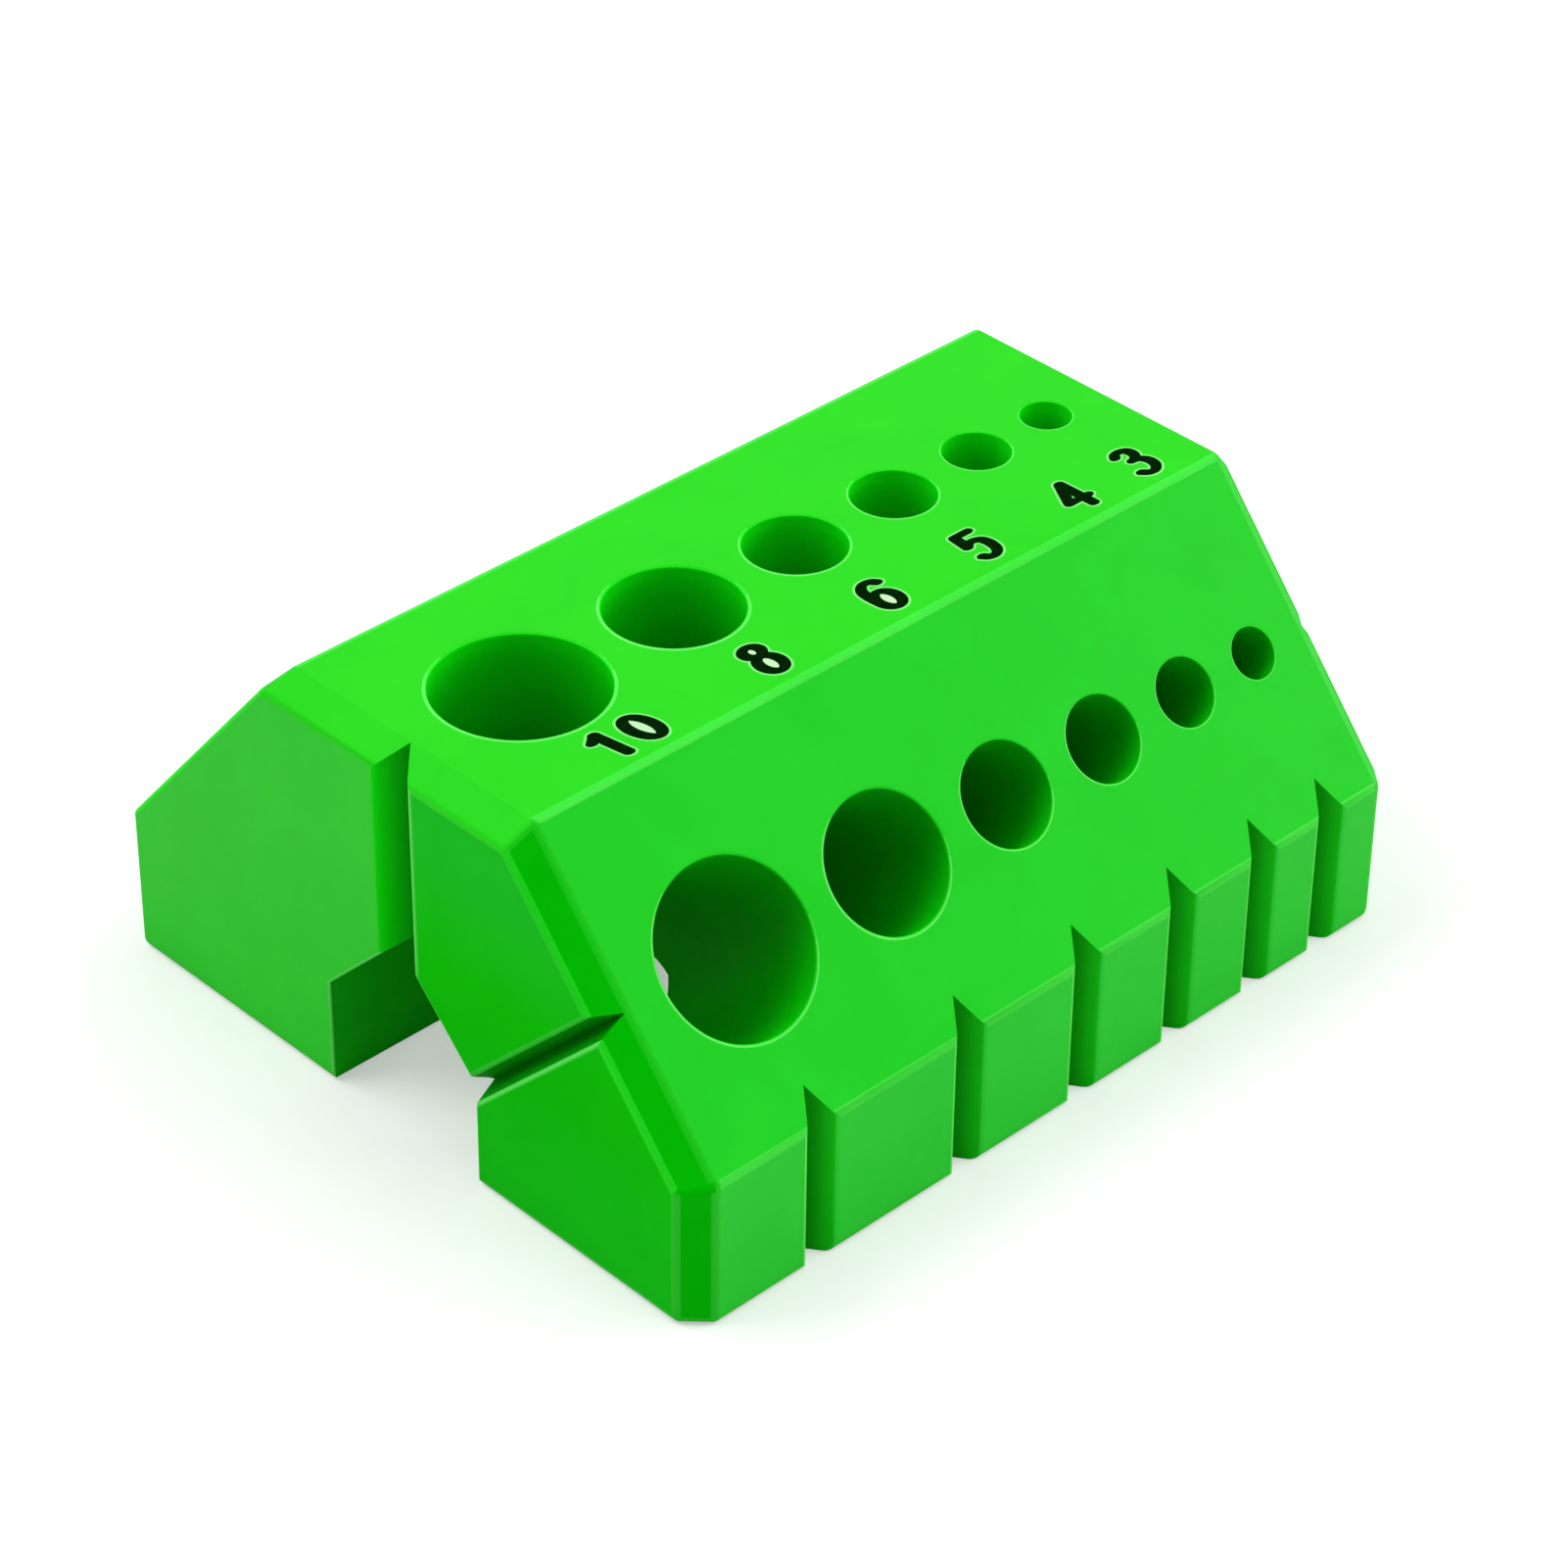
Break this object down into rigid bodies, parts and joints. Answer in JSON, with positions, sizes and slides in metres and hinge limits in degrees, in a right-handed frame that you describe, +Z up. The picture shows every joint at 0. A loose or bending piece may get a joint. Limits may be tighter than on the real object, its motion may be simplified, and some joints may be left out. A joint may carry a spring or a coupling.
{
  "type": "drill guide",
  "caption": "Moulded plastic drill guide block with a row of upright holes, a row of slanted holes, marking grooves and a channel underneath for square or round work.",
  "frame": {"origin": "middle of the underside's bounding box, on the surface that the block stands on", "axes": "+X along the rows from the largest hole to the smallest, -Y towards the slanted holes, +Z up"},
  "size_m": [0.056, 0.0474, 0.0259],
  "materials": {
    "green_plastic": "satin moulded plastic"
  },
  "bodies": {
    "root": {"guide_block": "green_plastic"}
  },
  "joints": []
}
